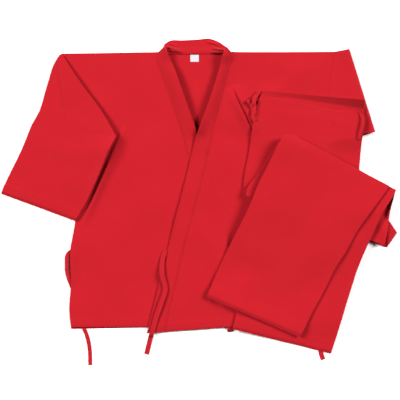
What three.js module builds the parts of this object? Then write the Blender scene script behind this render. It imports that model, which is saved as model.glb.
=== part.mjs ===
// A karate gi laid flat: a cross-over cotton jacket, front up, with its trousers folded on its lower corner.
// Millimetres. X runs to the wearer's left, Y towards the collar, and Z up from the surface that it lies on.
import * as THREE from "three";

// Cloth, seams and tapes
const CLOTH = 1.3; // one layer of cotton as it lies
const BAND = 3.2; // the collar and lapel strip, folded to several layers
const TAPE = 1.2; // thickness of a tie
const LABEL = 0.8;
const SEAM_GAP = 0.3; // between pieces that are sewn edge to edge
const LAID_GAP = 0.35; // between a piece and what it lies on
const FLAT_SLEEVE = 2 * CLOTH + LAID_GAP; // both layers of a flattened sleeve

// Depths of the flattened tubes and of the folded stack
const SLEEVE_DEPTH = 4.2;
const LEG_DEPTH = 4.4;
const SEAT_DEPTH = 5.0;
const STACK_DEPTH = 6.0;
const STACK_LAYERS = 4;

// Fineness of the meshes
const STEP = 52; // longest side of a face along a piece
const EDGE_ANGLES = [-35, 35]; // points round a folded edge, in degrees
const NOSE_ANGLES = [0, 35, 90]; // sections round the closed end of a tube, in degrees
const NOSE_FLAT = 0.12; // how much of the depth is left at the very end

// The map of heights that each piece is laid on
const CELL = 3;
const MAP_WIDTH = 1080;
const MAP_LENGTH = 900;
const SETTLE_PASSES = 16;
const SETTLE_SHARE = 0.5;

// Jacket fronts, a row for each section from the hem to the shoulder.
// side seam x, y; lapel seam x, y; free edge of the lapel x, y
const FRONT_RIGHT = [
  [-333, -326, 70, -326, 120, -328],
  [-337, -290, 62, -290, 109, -290],
  [-333, -210, 43, -210, 88, -210],
  [-334, -125, 24, -125, 67, -125],
  [-322, -48, 3, -48, 47, -48],
  [-323, 40, -16, 40, 25, 40],
  [-325, 110, -29, 110, 8, 110],
  [-326, 160, -38, 152, -2, 162],
  [-333, 210, -50, 192, -11, 196],
  [-341, 270, -68, 245, -30, 250],
  [-348, 315, -86, 297, -48, 300],
  [-354, 355, -103, 345, -64, 345],
  [-358, 383, -110, 369, -79, 379],
  [-358.5, 385, -106, 389, -87, 405],
];
const FRONT_LEFT = [
  [324, -324, -88, -337, -136, -341],
  [327, -290, -79, -292, -124, -292],
  [327, -210, -59, -210, -103, -210],
  [326, -125, -40, -125, -82, -125],
  [321, -48, -20, -48, -63, -48],
  [318, 40, 4, 40, -40, 40],
  [318, 110, 21, 110, -23, 110],
  [318, 161, 33, 162, -9, 166],
  [323.5, 200, 40, 200, 3, 200],
  [333.3, 270, 57, 262, 26, 262],
  [339.6, 315, 69, 308, 40, 305],
  [345.2, 355, 79, 345, 52, 345],
  [349.9, 388, 85, 371, 61, 380],
  [350.1, 389.5, 82, 389, 69, 402],
];

// Each table below has a row for each section across the piece.
// left end x, y; right end x, y; height of the left and the right end above what it lies on (0 unless given)

// Collar at the back of the neck, from the wearer's right to the left; its ends are the neck seam and the top edge.
const COLLAR = [
  [-80, 383, -88, 409],
  [-70, 383, -77, 418],
  [-40, 383, -42, 420],
  [-5, 384, -4, 422],
  [30, 384, 28, 424],
  [47, 384, 50, 416],
  [60, 384, 66, 406],
];

// Right sleeve from the shoulder to the cuff; its right end is the pleat and then the underarm edge.
const SLEEVE_RIGHT = [
  [-364, 379, -352, 376, 0, 0],
  [-376, 360, -342, 362, 0, 0],
  [-392, 313, -309, 312, 0, 1],
  [-415, 236, -250, 232, 0, 4],
  [-435, 200, -214, 169, 0, 11],
  [-449, 165, -233, 134, 0, 5],
  [-465, 127, -249, 94, 0, 1],
  [-490, 76, -270, 46, 0, 0],
  [-505, 45, -289, 5, 0, 0],
  [-514.5, 26, -320, -45, 0, 0],
];

// Left sleeve: the armhole seam, the line that it is folded under along, and the hidden cuff.
const ARMHOLE = [350.1, 389.5, 318, 161];
const SLEEVE_FOLD = [387, 397, 454, 182];
const HIDDEN_CUFF = [90, 210, 278, 121];
const FOLD_RADIUS = 6;
const SLEEVE_STATIONS = 6; // sections in each of its two flat stretches
const SLEEVE_COLUMNS = 6; // faces across it
const FOLD_ANGLES = [90, 50, 10, -30, -65, -90];

// Trousers, from the waist to the lower fold.
const SEAT = [
  [153, 261, 426, 221],
  [143, 225, 425, 190],
  [137, 190, 421, 155],
  [133, 155, 418, 115],
  [126, 115, 416, 80],
  [119, 80, 430, 30],
  [115, 43, 474, -24],
  [116, 20, 514.6, -80],
  [140, 12, 486, -119],
];
const WAIST_TOP = [158, 282, 424, 242];
const WAIST_TOP_UNDER = [160, 288, 426, 262]; // the lower layer shows above the upper one
const STACK = [
  [120, 17, 480, -112],
  [128, 43, 489, -60],
  [150, 70, 492, -30],
  [180, 115, 501, 5],
  [214, 166, 508, 28],
];
// Legs, from the hem to the upper fold.
const LEG_LOWER = [
  [87, -325, 343, -390],
  [98, -279, 362, -332],
  [112, -225, 379, -275],
  [130, -165, 396, -220],
  [148, -105, 411, -172],
  [168, -40, 431, -122],
  [190, 30, 452, -75],
  [212, 95, 476, -22],
  [235, 140, 496, 8],
  [258, 160, 508, 31],
];
const LEG_UPPER = [
  [20, -241, 262, -346],
  [45, -185, 295, -282],
  [68, -135, 325, -227],
  [96, -78, 352, -171],
  [125, -20, 380, -127],
  [150, 41, 410, -71],
  [176, 94, 440, -28],
  [200, 143, 462, 2],
  [214, 170, 476, 20],
  [243, 173, 490, 41],
];

// Tapes: width, then the middle line, a row for each bend. x, y
const TIE_SIDE_RIGHT = {
  width: 10,
  line: [[-329, -126], [-341, -136], [-344, -160], [-341, -192], [-330, -222], [-318, -262], [-304, -318],
    [-292, -347], [-285, -380], [-283, -424]],
};
const TIE_INNER = { width: 13, line: [[62, -150], [68, -205], [74, -270], [80, -338]] };
const TIE_SIDE_LEFT = { width: 12, line: [[314, -130], [318, -200], [316, -290], [313, -350], [315, -386], [322, -410]] };
const TIE_LAPEL = {
  width: 12.5,
  line: [[-88, -126], [-95, -150], [-96, -185], [-88, -227], [-97, -257], [-110, -294], [-123, -341], [-137, -396]],
};
const WAIST_TAPE_LEFT = { width: 10, line: [[161, 274], [149, 268], [140, 250], [137, 229], [142, 211]] };
const WAIST_TAPE_RIGHT = { width: 11, line: [[414, 236], [423, 219], [422, 198], [416, 180], [415, 160]] };
const NECK_LABEL = [[-23, 364, -1, 364], [-23, 382, -1, 382]];

// Colours
const RED = 0xd2232f;
const WHITE = 0xf0eef2;

// The heights of all that lies on the surface so far, in square cells.
const mapColumns = Math.ceil(MAP_WIDTH / CELL);
const mapRows = Math.ceil(MAP_LENGTH / CELL);
const heights = new Float64Array(mapColumns * mapRows);

function cellIndex(x, y) {
  const column = Math.floor((x + MAP_WIDTH / 2) / CELL);
  const row = Math.floor((y + MAP_LENGTH / 2) / CELL);
  return row * mapColumns + column;
}

// The lowest place for an underside at a point: just above what lies there, or on the surface itself.
function restHeight(x, y) {
  const height = heights[cellIndex(x, y)];
  return height > 0 ? height + LAID_GAP : 0;
}

// Calls visit for points spread over a triangle, corners and edges included, with the weight of each corner.
function overTriangle(a, b, c, visit) {
  const longest = Math.max(a.distanceTo(b), b.distanceTo(c), c.distanceTo(a));
  const steps = Math.max(1, Math.ceil(longest / (CELL * 0.8)));
  for (let i = 0; i <= steps; i++) {
    for (let j = 0; j <= steps - i; j++) {
      const wa = i / steps;
      const wb = j / steps;
      const wc = 1 - wa - wb;
      visit(wa * a.x + wb * b.x + wc * c.x, wa * a.y + wb * b.y + wc * c.y, wa, wb, wc);
    }
  }
}

// The two triangles of each cell of a grid, as index pairs [row, column].
function gridTriangles(rows, columns) {
  const triangles = [];
  for (let r = 0; r + 1 < rows; r++) {
    for (let c = 0; c + 1 < columns; c++) {
      triangles.push([[r, c], [r, c + 1], [r + 1, c + 1]]);
      triangles.push([[r, c], [r + 1, c + 1], [r + 1, c]]);
    }
  }
  return triangles;
}

// Adds the top of a laid grid to the map, with one cell round it to spare.
function addToMap(plan, top) {
  for (const corners of gridTriangles(plan.length, plan[0].length)) {
    const [a, b, c] = corners.map(([r, k]) => plan[r][k]);
    const [za, zb, zc] = corners.map(([r, k]) => top[r][k]);
    overTriangle(a, b, c, (x, y, wa, wb, wc) => {
      const z = wa * za + wb * zb + wc * zc;
      for (let dx = -1; dx <= 1; dx++) {
        for (let dy = -1; dy <= 1; dy++) {
          const index = cellIndex(x + dx * CELL, y + dy * CELL);
          heights[index] = Math.max(heights[index], z);
        }
      }
    });
  }
}

// Heights of the underside of a grid that is laid on the map. It starts above the highest thing under each face,
// and then its corners sink in turn, as far as the faces round them allow, but not below their own lift.
function drape(plan, lift) {
  const base = lift.map((row) => [...row]);
  const facesAt = lift.map((row) => row.map(() => []));
  for (const corners of gridTriangles(plan.length, plan[0].length)) {
    const [a, b, c] = corners.map(([r, k]) => plan[r][k]);
    const points = [];
    overTriangle(a, b, c, (x, y, ...weights) => points.push({ rest: restHeight(x, y), weights }));
    const highest = Math.max(...points.map(({ rest }) => rest));
    for (const [r, k] of corners) {
      base[r][k] = Math.max(base[r][k], highest);
      facesAt[r][k].push({ corners, points });
    }
  }
  for (let pass = 0; pass < SETTLE_PASSES; pass++) {
    facesAt.forEach((row, r) => row.forEach((faces, k) => {
      const room = faces.map((face) => roomUnder(face, base, r, k));
      base[r][k] -= Math.min(base[r][k] - lift[r][k], ...room) * SETTLE_SHARE;
    }));
  }
  return base;
}

// How far the corner [r, k] of a face can sink before the face touches what is below.
function roomUnder({ corners, points }, base, r, k) {
  const own = corners.findIndex(([row, column]) => row === r && column === k);
  const [za, zb, zc] = corners.map(([row, column]) => base[row][column]);
  let room = Infinity;
  for (const { rest, weights: [wa, wb, wc] } of points) {
    const weight = [wa, wb, wc][own];
    if (weight > 0) {
      room = Math.min(room, (wa * za + wb * zb + wc * zc - rest) / weight);
    }
  }
  return Math.max(0, room);
}

function mix(a, b, t) {
  return a + (b - a) * t;
}

// A section of a table, with extra ones between its rows where they are far apart.
function sections(table) {
  const list = [];
  for (let i = 0; i < table.length; i++) {
    list.push({ values: table[i], squeeze: 1 });
    const next = table[i + 1];
    if (!next) {
      continue;
    }
    const left = Math.hypot(next[0] - table[i][0], next[1] - table[i][1]);
    const right = Math.hypot(next[2] - table[i][2], next[3] - table[i][3]);
    const parts = Math.ceil(Math.max(left, right) / STEP);
    for (let k = 1; k < parts; k++) {
      list.push({ values: table[i].map((value, n) => mix(value, next[n], k / parts)), squeeze: 1 });
    }
  }
  return list;
}

// Replaces the last section by ones that round off the closed end, whose depth shrinks towards it.
function roundEnd(list, depth) {
  const last = list[list.length - 1].values;
  const before = list[list.length - 2].values;
  const span = Math.hypot(last[0] - before[0], last[1] - before[1]);
  const rounded = NOSE_ANGLES.map((degrees) => {
    const angle = THREE.MathUtils.degToRad(degrees);
    const back = (depth / 2) * (1 - Math.sin(angle)) / span;
    return {
      values: last.map((value, n) => mix(value, before[n], back)),
      squeeze: Math.max(NOSE_FLAT, Math.cos(angle)),
    };
  });
  return [...list.slice(0, -1), ...rounded];
}

// Points round one folded edge, from below to above: how far in from the edge, and how high.
function edgePoints(depth, layers, inset) {
  const radius = depth / layers / 2;
  const points = [];
  for (let layer = 0; layer < layers; layer++) {
    if (layer > 0) {
      points.push([radius, layer * 2 * radius]);
    }
    for (const degrees of EDGE_ANGLES) {
      const angle = THREE.MathUtils.degToRad(degrees);
      const reach = (radius - inset) * Math.cos(angle);
      points.push([radius - reach, radius * (2 * layer + 1) + (radius - inset) * Math.sin(angle)]);
    }
  }
  return points;
}

// One ring round a section: along the underside, up one edge, back along the top and down the other edge.
// under, when given, is where the lower layer of the section lies.
function ring(section, base, columns, depth, layers, inset, under) {
  const [leftX, leftY, rightX, rightY] = section.values;
  const lower = under ?? section.values;
  const width = Math.hypot(rightX - leftX, rightY - leftY);
  const edges = layers > 0 ? edgePoints(depth, layers, inset) : [];
  const start = layers > 0 ? depth / layers / 2 / width : 0;
  const point = (u, height) => {
    const place = u * columns;
    const c = Math.min(columns - 1, Math.max(0, Math.floor(place)));
    const z = mix(base[c], base[c + 1], place - c) + depth / 2 + (height - depth / 2) * section.squeeze;
    const up = height / depth;
    return new THREE.Vector3(
      mix(mix(lower[0], leftX, up), mix(lower[2], rightX, up), u),
      mix(mix(lower[1], leftY, up), mix(lower[3], rightY, up), u),
      z,
    );
  };
  const flat = [];
  for (let c = 0; c <= columns; c++) {
    flat.push(Math.min(1 - start, Math.max(start, c / columns)));
  }
  return [
    ...flat.map((u) => point(u, inset)),
    ...edges.map(([into, height]) => point(1 - into / width, height)),
    ...[...flat].reverse().map((u) => point(u, depth - inset)),
    ...[...edges].reverse().map(([into, height]) => point(into / width, height)),
  ];
}

// Gathers triangles into one closed geometry and turns its faces outward.
class Skin {
  constructor() {
    this.positions = [];
    this.faces = [];
  }

  addRing(points) {
    const first = this.positions.length;
    this.positions.push(...points);
    return points.map((_, i) => first + i);
  }

  // A wall between two rings of as many points; inward turns it over. From topStart on, each pair of faces is
  // parted along its other diagonal, so that the top of a piece has the faces of its underside.
  wall(one, other, inward, topStart) {
    const add = (a, b, c) => this.faces.push(inward ? [a, c, b] : [a, b, c]);
    for (let i = 0; i < one.length; i++) {
      const j = (i + 1) % one.length;
      if (i < topStart) {
        add(one[i], one[j], other[j]);
        add(one[i], other[j], other[i]);
      } else {
        add(one[i], one[j], other[i]);
        add(one[j], other[j], other[i]);
      }
    }
  }

  // Closes one ring: a strip between its underside and its top, and at each folded edge a fan from a hub.
  lid(loop, columns, edgeCount, turned) {
    const add = (a, b, c) => this.faces.push(turned ? [a, c, b] : [a, b, c]);
    const top = (c) => loop[columns + 1 + edgeCount + (columns - c)];
    const folded = edgeCount > 0 ? 1 : 0;
    for (let c = folded; c < columns - folded; c++) {
      add(loop[c], loop[c + 1], top(c + 1));
      add(loop[c], top(c + 1), top(c));
    }
    if (folded) {
      this.fan([...loop.slice(columns - 1, columns + edgeCount + 3)], add);
      this.fan([...loop.slice(2 * columns + edgeCount), loop[0], loop[1]], add);
    }
  }

  // Joins the points of a rim to a new point in their middle.
  fan(rim, add) {
    const corners = [rim[0], rim[rim.length - 1]].map((i) => this.positions[i]);
    const far = [rim[1], rim[rim.length - 2]].map((i) => this.positions[i]);
    const hub = new THREE.Vector3();
    [...corners, ...far].forEach((p) => hub.addScaledVector(p, 1 / 4));
    const [centre] = this.addRing([hub]);
    rim.forEach((point, i) => add(point, rim[(i + 1) % rim.length], centre));
  }

  geometry() {
    const volume = this.faces.reduce((sum, [a, b, c]) => {
      const [p, q, r] = [a, b, c].map((i) => this.positions[i]);
      return sum + p.dot(new THREE.Vector3().crossVectors(q, r)) / 6;
    }, 0);
    const faces = volume > 0 ? this.faces : this.faces.map(([a, b, c]) => [a, c, b]);
    const geometry = new THREE.BufferGeometry();
    geometry.setAttribute("position", new THREE.Float32BufferAttribute(this.positions.flatMap((p) => p.toArray()), 3));
    geometry.setIndex(faces.flat());
    geometry.computeVertexNormals();
    return geometry;
  }
}

const cotton = () => new THREE.MeshStandardMaterial({ color: RED, roughness: 0.9, metalness: 0 });
const labelCloth = () => new THREE.MeshStandardMaterial({ color: WHITE, roughness: 0.7, metalness: 0 });
const gi = new THREE.Group();

function addMesh(name, geometry, material = cotton()) {
  const mesh = new THREE.Mesh(geometry, material);
  mesh.name = name;
  gi.add(mesh);
}

// Lays one piece on all that is there.
// table: its sections. layers: how many show at its folded edges, 0 for a cut edge. wall: thickness of the cloth of
// a flattened tube, which is open at its first section, and at its last unless closed. under: for each section, where
// the lower layer lies, if elsewhere.
function lay(name, table, { depth, layers = 0, wall = 0, closed = false, under = [], material } = {}) {
  const list = closed ? roundEnd(sections(table), depth) : sections(table);
  const widths = list.map(({ values }) => Math.hypot(values[2] - values[0], values[3] - values[1]));
  const columns = Math.max(1, Math.ceil(Math.max(...widths) / STEP));
  const plan = [];
  const lift = [];
  for (const { values: [leftX, leftY, rightX, rightY, leftLift = 0, rightLift = 0] } of list) {
    const places = Array.from({ length: columns + 1 }, (_, c) => c / columns);
    plan.push(places.map((u) => new THREE.Vector2(mix(leftX, rightX, u), mix(leftY, rightY, u))));
    lift.push(places.map((u) => leftLift * (1 - u) ** 2 + rightLift * u ** 2));
  }
  const base = drape(plan, lift);
  const skin = new Skin();
  const rings = (inset, count) => list.slice(0, count)
    .map((section, r) => skin.addRing(ring(section, base[r], columns, depth, layers, inset, under[r])));
  const outer = rings(0, list.length);
  const edgeCount = layers > 0 ? edgePoints(depth, layers, 0).length : 0;
  const topStart = columns + 1 + edgeCount;
  for (let r = 0; r + 1 < outer.length; r++) {
    skin.wall(outer[r], outer[r + 1], false, topStart);
  }
  if (wall > 0) {
    const inner = rings(wall, closed ? list.length - NOSE_ANGLES.length : list.length);
    for (let r = 0; r + 1 < inner.length; r++) {
      skin.wall(inner[r], inner[r + 1], true, topStart);
    }
    skin.wall(outer[0], inner[0], true, topStart);
    if (closed) {
      skin.lid(inner[inner.length - 1], columns, edgeCount, true);
      skin.lid(outer[outer.length - 1], columns, edgeCount, false);
    } else {
      skin.wall(outer[outer.length - 1], inner[inner.length - 1], false, topStart);
    }
  } else {
    skin.lid(outer[0], columns, edgeCount, true);
    skin.lid(outer[outer.length - 1], columns, edgeCount, false);
  }
  addMesh(name, skin.geometry(), material);
  addToMap(plan, base.map((row) => row.map((z) => z + depth)));
}

// Sections square across the middle line of a tape.
function tapeSections({ width, line }) {
  return line.map(([x, y], i) => {
    const [beforeX, beforeY] = line[Math.max(0, i - 1)];
    const [afterX, afterY] = line[Math.min(line.length - 1, i + 1)];
    const along = new THREE.Vector2(afterX - beforeX, afterY - beforeY).normalize();
    const sideX = (-along.y * width) / 2;
    const sideY = (along.x * width) / 2;
    return [x + sideX, y + sideY, x - sideX, y - sideY];
  });
}

function layTape(name, tape) {
  lay(name, tapeSections(tape), { depth: TAPE });
}

// The left sleeve, both layers as one thickness: flat from the armhole to the fold, round the fold, and back under
// the body to its cuff. The stretch that lies on the surface goes on the map first, and the upper one after the body.
function foldedSleeve() {
  const along = new THREE.Vector2(SLEEVE_FOLD[2] - SLEEVE_FOLD[0], SLEEVE_FOLD[3] - SLEEVE_FOLD[1]).normalize();
  const outward = [-along.y, along.x];
  const between = (from, to, t) => from.map((value, n) => mix(value, to[n], t));
  const moved = (line, distance) => line.map((value, n) => value + outward[n % 2] * distance);
  const foldStart = moved(SLEEVE_FOLD, -FOLD_RADIUS);
  const armhole = [ARMHOLE[0] + SEAM_GAP, ARMHOLE[1], ARMHOLE[2] + SEAM_GAP, ARMHOLE[3]];
  const armholeTop = 2 * FLAT_SLEEVE + LAID_GAP;
  const stations = [];
  for (let i = 0; i < SLEEVE_STATIONS; i++) {
    const t = i / SLEEVE_STATIONS;
    const top = mix(armholeTop, 2 * FOLD_RADIUS, t * t);
    const line = between(armhole, foldStart, t);
    stations.push({ outerLine: line, innerLine: line, outerZ: top, innerZ: top - FLAT_SLEEVE });
  }
  for (const degrees of FOLD_ANGLES) {
    const angle = THREE.MathUtils.degToRad(degrees);
    const inner = FOLD_RADIUS - FLAT_SLEEVE;
    stations.push({
      outerLine: moved(foldStart, FOLD_RADIUS * Math.cos(angle)),
      innerLine: moved(foldStart, inner * Math.cos(angle)),
      outerZ: FOLD_RADIUS * (1 + Math.sin(angle)),
      innerZ: FOLD_RADIUS + inner * Math.sin(angle),
    });
  }
  for (let i = 1; i <= SLEEVE_STATIONS; i++) {
    const line = between(foldStart, HIDDEN_CUFF, i / SLEEVE_STATIONS);
    stations.push({ outerLine: line, innerLine: line, outerZ: 0, innerZ: FLAT_SLEEVE });
  }
  return stations;
}

// The plan of one stretch of the folded sleeve and the height of its top, for the map.
function sleeveStretch(stations, columns, topOf) {
  const places = Array.from({ length: columns + 1 }, (_, c) => c / columns);
  const plan = stations.map(({ outerLine: [ax, ay, bx, by] }) => (
    places.map((u) => new THREE.Vector2(mix(ax, bx, u), mix(ay, by, u)))
  ));
  return [plan, stations.map((station) => places.map(() => topOf(station)))];
}

function addFoldedSleeve(stations, columns) {
  const skin = new Skin();
  const places = Array.from({ length: columns + 1 }, (_, c) => c / columns);
  const loops = stations.map(({ outerLine, innerLine, outerZ, innerZ }) => {
    const at = ([ax, ay, bx, by], z, u) => new THREE.Vector3(mix(ax, bx, u), mix(ay, by, u), z);
    return skin.addRing([
      ...places.map((u) => at(innerLine, innerZ, u)),
      ...[...places].reverse().map((u) => at(outerLine, outerZ, u)),
    ]);
  });
  for (let i = 0; i + 1 < loops.length; i++) {
    skin.wall(loops[i], loops[i + 1], false, columns + 1);
  }
  skin.lid(loops[0], columns, 0, true);
  skin.lid(loops[loops.length - 1], columns, 0, false);
  addMesh("sleeve_left", skin.geometry());
}

// The waist casing starts a seam's width above the seat.
function waistband(seam) {
  const share = SEAM_GAP / Math.hypot(WAIST_TOP[0] - seam[0], WAIST_TOP[1] - seam[1]);
  return [seam.map((value, n) => mix(value, WAIST_TOP[n], share)), WAIST_TOP];
}

// Jacket, from the surface up
const sleeveStations = foldedSleeve();
const upperStretch = sleeveStations.slice(0, SLEEVE_STATIONS + 2);
const lowerStretch = sleeveStations.slice(SLEEVE_STATIONS + FOLD_ANGLES.length - 1);
addToMap(...sleeveStretch(lowerStretch, SLEEVE_COLUMNS, ({ innerZ }) => innerZ));
lay("jacket_back", FRONT_RIGHT.map((row, i) => [row[0], row[1], FRONT_LEFT[i][0], FRONT_LEFT[i][1]]), { depth: CLOTH });
lay("neck_label", NECK_LABEL, { depth: LABEL, material: labelCloth() });
lay("collar_back", COLLAR, { depth: BAND });
layTape("tie_side_right", TIE_SIDE_RIGHT);
lay("jacket_front_right", FRONT_RIGHT.map(([sx, sy, lx, ly]) => [sx, sy, lx - SEAM_GAP, ly]), { depth: CLOTH });
lay("lapel_right", FRONT_RIGHT.map(([, , lx, ly, ex, ey]) => [lx, ly, ex, ey]), { depth: BAND });
layTape("tie_inner", TIE_INNER);
layTape("tie_side_left", TIE_SIDE_LEFT);
lay("jacket_front_left", FRONT_LEFT.map(([sx, sy, lx, ly]) => [lx + SEAM_GAP, ly, sx, sy]), { depth: CLOTH });
lay("lapel_left", FRONT_LEFT.map(([, , lx, ly, ex, ey]) => [ex, ey, lx, ly]), { depth: BAND });
addFoldedSleeve(sleeveStations, SLEEVE_COLUMNS);
addToMap(...sleeveStretch(upperStretch, SLEEVE_COLUMNS, () => 2 * FOLD_RADIUS));
layTape("tie_lapel", TIE_LAPEL);
lay("sleeve_right", SLEEVE_RIGHT, { depth: SLEEVE_DEPTH, layers: 1, wall: CLOTH });

// Trousers: the waist section, the hidden stretch between the folds, the two legs, and the tapes
const seatTop = SEAT[0];
lay("trousers_seat", SEAT, { depth: SEAT_DEPTH, layers: 1, wall: CLOTH, closed: true });
lay("trousers_waistband", waistband(seatTop), {
  depth: SEAT_DEPTH,
  layers: 1,
  wall: CLOTH,
  under: [undefined, WAIST_TOP_UNDER],
});
layTape("waist_tape_left", WAIST_TAPE_LEFT);
layTape("waist_tape_right", WAIST_TAPE_RIGHT);
lay("trousers_fold", STACK, { depth: STACK_DEPTH, layers: STACK_LAYERS });
lay("trousers_leg_lower", LEG_LOWER, { depth: LEG_DEPTH, layers: 1, wall: CLOTH, closed: true });
lay("trousers_leg_upper", LEG_UPPER, { depth: LEG_DEPTH, layers: 1, wall: CLOTH, closed: true });

export default gi;
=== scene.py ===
# A karate gi laid flat: its cloth, tapes, stitches, floor, lights and camera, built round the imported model.
import math
from typing import NamedTuple

import bpy
import numpy as np
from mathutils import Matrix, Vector


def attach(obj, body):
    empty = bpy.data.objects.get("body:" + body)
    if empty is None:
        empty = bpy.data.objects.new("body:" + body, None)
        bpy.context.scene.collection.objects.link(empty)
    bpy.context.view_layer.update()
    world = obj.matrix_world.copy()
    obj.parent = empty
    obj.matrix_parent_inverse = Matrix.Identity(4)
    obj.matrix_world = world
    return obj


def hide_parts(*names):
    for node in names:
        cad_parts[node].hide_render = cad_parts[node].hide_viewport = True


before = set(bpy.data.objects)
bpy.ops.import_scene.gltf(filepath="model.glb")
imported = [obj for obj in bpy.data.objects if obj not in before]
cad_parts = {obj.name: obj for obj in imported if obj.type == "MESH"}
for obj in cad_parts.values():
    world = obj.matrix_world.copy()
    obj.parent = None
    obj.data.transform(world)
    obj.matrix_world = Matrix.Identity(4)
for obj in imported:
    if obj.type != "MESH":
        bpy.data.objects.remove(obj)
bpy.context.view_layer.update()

# Every table and length below is in millimetres, in the frame of the model; MM turns them into metres.
MM = 0.001

# Cloth
CLOTH = 1.1  # one layer of cotton
BAND = 3.0  # the folded strip of the collar and the lapels
TAPE = 1.1
LABEL_CLOTH = 0.5
GAP = 0.35  # air between a piece and what it lies on
SEAM = 0.15  # between pieces sewn edge to edge
SLEEVE_DEPTH = 4.0
SEAT_DEPTH = 4.8
STACK_DEPTH = 6.0
LEG_DEPTH = 4.2
HEM_RISE = 0.8  # how much thicker a turned hem is
HEM_DROOP = 0.6  # share of its thickness that a hem loses at its edge
HEM_ROLL = 4.0  # over this width
DROP_RADIUS = 16.0  # how round cloth bends over the edge of what is under it
DROP_SLOPE = 0.6  # and how steeply it falls from there
LEG_SLOPE = 0.09  # the folded legs are stiffer
EDGE_ROUND = 0.9  # radius of a folded edge
SEWN_ROUND = 0.1  # and of one sewn to its neighbour
LEVEL_REACH = 12.0  # how far in from a seam the two sides are made level
THIN_WIDTH = 12.0  # how far in from its seam a band thins
SLEEVE_THICK = 2 * CLOTH + GAP  # both layers of the sleeve that is folded under
SEAT_SLOPE = 0.3  # the seat and the waist casing fall less steeply
TAPE_RADIUS = 2.0  # tapes bend round all that they cross
TAPE_SLOPE = 2.0
SMOOTHING = 14  # passes that even out how a piece lies
TAPE_SMOOTHING = 2
LIFT_KEPT = 0.92  # share of its lift that a piece keeps in them

# Soft waves of smoothed cloth: height and length; how many waves, and how much their lengths differ
FRONT_WAVES = (3.5, 130)
SLEEVE_WAVES = (3.0, 110)
SEAT_WAVES = (3.0, 110)
LEG_WAVES = (2.5, 120)
WAVE_COUNT = 9
WAVE_SPREAD = (0.6, 1.8)
CREASE_FADE = 0.7  # how soon a crease reaches its height from its ends

# Fineness of the meshes
COARSE = 6.0
FINE = 4.0
SMALL = 3.0
FRONT_LEFT_STEP = 2.6
SLEEVE_STEP = 3.3
COLLAR_STEP = 1.6
TAPE_COLUMNS = 5
EDGE_SECTIONS = 3  # points round an edge
NOSE_ANGLES = (0, 30, 60, 82)  # of the sections round the closed end of a tube, in degrees
UPPER_SECTIONS = 16  # of the folded sleeve: above, round its fold and under the body
FOLD_SECTIONS = 13
LOWER_SECTIONS = 24
SLEEVE_COLUMNS = 46
SHARP_ANGLE = math.radians(40)  # faces that meet at more than this are shaded apart

# Stitches: length and gap, half the thread's width, and how far the rows are from a hem's inner edge,
# from the edges of a band and the label, and from a tape's end
STITCH = 3.0
STITCH_GAP = 1.0
THREAD = 0.28
LABEL_THREAD = 0.15
THREAD_SIDES = 5
HEM_INSET = 2
BAND_INSET = 4
LABEL_INSET = 1.4
TAPE_INSET = 3
# Along a stitch: share of its length from its middle, and height in half widths of the thread
STITCH_PROFILE = [(-0.5, -0.9), (-0.3, 0.3), (0.0, 0.7), (0.3, 0.3), (0.5, -0.9)]

# The map of heights
CELL = 2.0
MAP_HALF = (560.0, 470.0)
MARK_SPACING = 0.8  # of the points that mark it, in cells
EDGE_CELLS = 2  # cells beyond an edge before cloth starts to fall from it
BARE = 0.02  # lower than this it is the bare surface

# Jacket fronts, a row for each section from the hem to the shoulder.
# side seam x, y; lapel seam x, y; free edge of the lapel x, y
FRONT_RIGHT = [
    (-333, -325, 70, -326, 120, -328),
    (-337, -290, 62, -290, 109, -290),
    (-333, -210, 43, -210, 88, -210),
    (-334, -125, 24, -125, 67, -125),
    (-322, -48, 3, -48, 47, -48),
    (-323, 40, -16, 40, 25, 40),
    (-325, 110, -29, 110, 8, 110),
    (-326, 160, -38, 152, -2, 162),
    (-333, 210, -50, 192, -11, 196),
    (-341, 270, -68, 245, -30, 250),
    (-348, 315, -86, 297, -48, 300),
    (-354, 355, -103, 345, -64, 345),
    (-358, 383, -110, 369, -79, 379),
    (-358.5, 385, -106, 389, -87, 405),
]
FRONT_LEFT = [
    (324, -306, -88, -337, -136, -341),
    (327, -290, -79, -292, -124, -292),
    (327, -210, -59, -210, -103, -210),
    (326, -125, -40, -125, -82, -125),
    (321, -48, -20, -48, -63, -48),
    (318, 40, 4, 40, -40, 40),
    (318, 110, 21, 110, -23, 110),
    (318, 161, 33, 162, -9, 166),
    (323.5, 200, 40, 200, 3, 200),
    (333.3, 270, 57, 262, 26, 262),
    (339.6, 315, 69, 308, 40, 305),
    (345.2, 355, 79, 345, 52, 345),
    (349.9, 388, 85, 371, 61, 380),
    (350.1, 389.5, 82, 389, 69, 402),
]

BACK_HEM = (-333, -330, 324, -318)  # the back panel's lower edge, left end x, y; right end x, y

# Each table below has a row for each section across the piece: left end x, y; right end x, y; and how
# high the left and the right end stand up from what they lie on.
COLLAR = [
    (-84, 383, -92, 408, 3, 2),
    (-72, 383, -78, 418, 1, 0),
    (-40, 383, -42, 420, 0, 0),
    (-5, 384, -4, 422, 0, 0),
    (30, 384, 28, 424, 0, 0),
    (50, 384, 52, 415, 1, 1),
    (64, 384, 70, 402, 3, 3),
]
SLEEVE_RIGHT = [
    (-361, 383, -352, 379, 0, 0),
    (-375, 361, -343, 364, 0, 3),
    (-392, 313, -309, 312, 0, 6),
    (-415, 236, -250, 232, 0, 9),
    (-435, 200, -214, 169, 0, 14),
    (-449, 165, -233, 134, 0, 18),
    (-465, 127, -249, 94, 0, 9),
    (-490, 76, -270, 46, 0, 6),
    (-506, 43, -290, 4, 0, 4),
    (-514, 24, -320, -47, 0, 2),
]
SLEEVE_TIP = 4  # the row of the table where the pleat meets the underarm edge

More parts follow.
